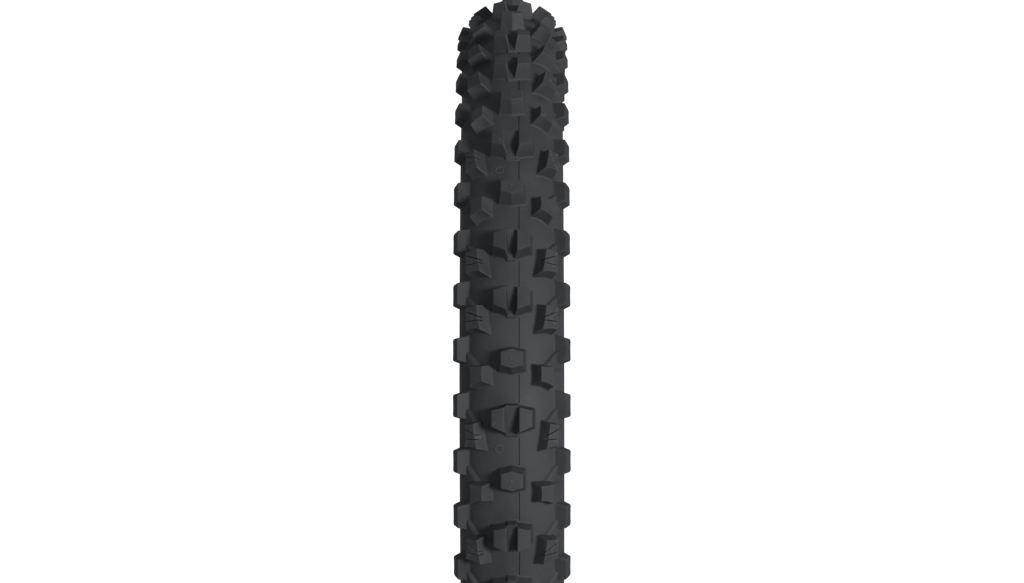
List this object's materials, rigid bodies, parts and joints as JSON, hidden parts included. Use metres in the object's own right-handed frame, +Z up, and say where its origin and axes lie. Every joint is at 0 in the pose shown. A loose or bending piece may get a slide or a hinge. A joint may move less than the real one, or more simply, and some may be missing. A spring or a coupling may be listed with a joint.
{
  "type": "motorcycle tire",
  "caption": "Narrow off-road motorcycle front tyre with hexagonal, split and siped tread knobs, shoulder knobs, sidewalls, plies and wire beads.",
  "frame": {"origin": "wheel centre, on the spin axis midway between the beads", "axes": "+Y along the spin axis, towards the right-hand sidewall; +Z up; +X forwards, the way the tread faces when seen from ahead"},
  "size_m": [0.6952, 0.0934, 0.6947],
  "materials": {
    "tread_rubber": "matt moulded tread rubber",
    "sidewall_rubber": "satin moulded sidewall rubber",
    "liner_rubber": "smooth soft rubber",
    "ply_fabric": "rubbered nylon cord fabric",
    "chafer_fabric": "rubbered square-woven fabric",
    "apex_rubber": "hard bead rubber",
    "bead_steel": "brass-coated bead wire in rubber"
  },
  "bodies": {
    "root": {"tread_base": "tread_rubber", "hexagon_knobs": "tread_rubber", "wide_groove_floors": "tread_rubber", "narrow_groove_floors": "tread_rubber", "vent_nubs": "tread_rubber", "mould_rings": "tread_rubber", "wide_split_knobs_right": "tread_rubber", "wide_split_knobs_left": "tread_rubber", "narrow_split_knobs_right": "tread_rubber", "narrow_split_knobs_left": "tread_rubber", "plain_side_knobs_right": "tread_rubber", "plain_side_knobs_left": "tread_rubber", "narrow_siped_side_knobs_right": "tread_rubber", "narrow_siped_side_knobs_left": "tread_rubber", "wide_siped_side_knobs_right": "tread_rubber", "wide_siped_side_knobs_left": "tread_rubber", "shoulder_knobs_right": "tread_rubber", "shoulder_knobs_left": "tread_rubber", "tie_webs_right": "tread_rubber", "tie_webs_left": "tread_rubber", "sidewall_right": "sidewall_rubber", "sidewall_left": "sidewall_rubber", "rim_line_rib_right": "sidewall_rubber", "rim_line_rib_left": "sidewall_rubber", "scuff_rib_right": "sidewall_rubber", "scuff_rib_left": "sidewall_rubber", "inner_liner": "liner_rubber", "breaker_ply": "ply_fabric", "carcass_ply_outer": "ply_fabric", "carcass_ply_inner": "ply_fabric", "bead_wrap_right": "ply_fabric", "bead_wrap_left": "ply_fabric", "chafer_right": "chafer_fabric", "chafer_left": "chafer_fabric", "apex_filler_right": "apex_rubber", "apex_filler_left": "apex_rubber", "bead_core_right": "bead_steel", "bead_core_left": "bead_steel"}
  },
  "joints": []
}
